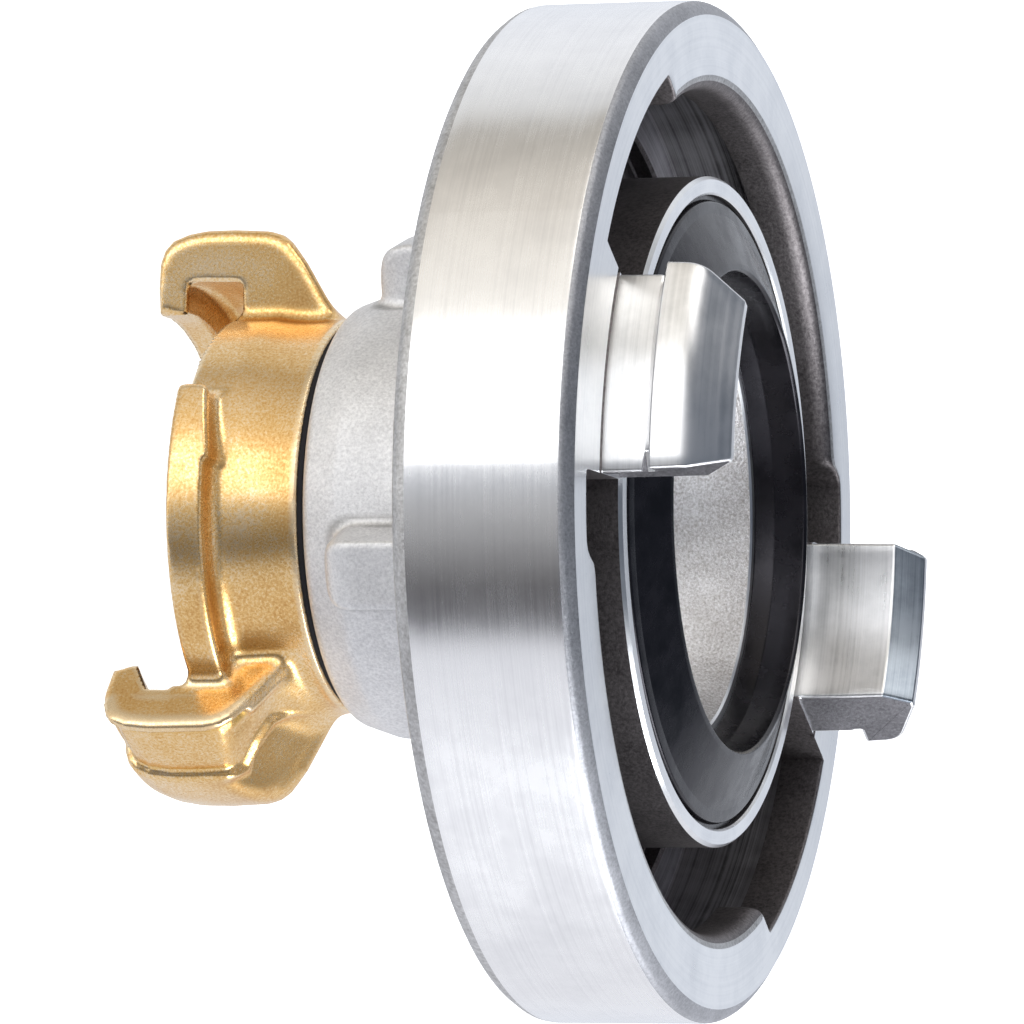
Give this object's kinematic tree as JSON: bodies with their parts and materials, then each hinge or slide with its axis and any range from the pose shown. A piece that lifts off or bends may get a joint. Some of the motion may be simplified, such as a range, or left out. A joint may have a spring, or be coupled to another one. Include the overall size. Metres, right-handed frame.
{
  "type": "hose coupling adapter",
  "caption": "Aluminium lug coupling screwed to a brass claw quick coupling, with rubber seals, for joining a hose line to garden or site hoses.",
  "frame": {"origin": "on the common axis, at the height of the claw tips that it stands on", "axes": "+Z along the water bore from the claw end to the lug face; the first claw's stop end lies in the +X half of the XZ plane"},
  "size_m": [0.098, 0.098, 0.0684],
  "materials": {
    "aluminium": "forged and shot blasted, turned on the ring, its face and the lugs",
    "gasket_rubber": "moulded, satin",
    "brass": "hot forged, blasted, satin",
    "seal_rubber": "moulded, matt",
    "seal_fibre": "flat cut, matt"
  },
  "bodies": {
    "root": {"coupling_body": "aluminium", "main_gasket": "gasket_rubber", "claw_coupling": "brass", "claw_seal": "seal_rubber", "thread_seal": "seal_fibre"}
  },
  "joints": []
}
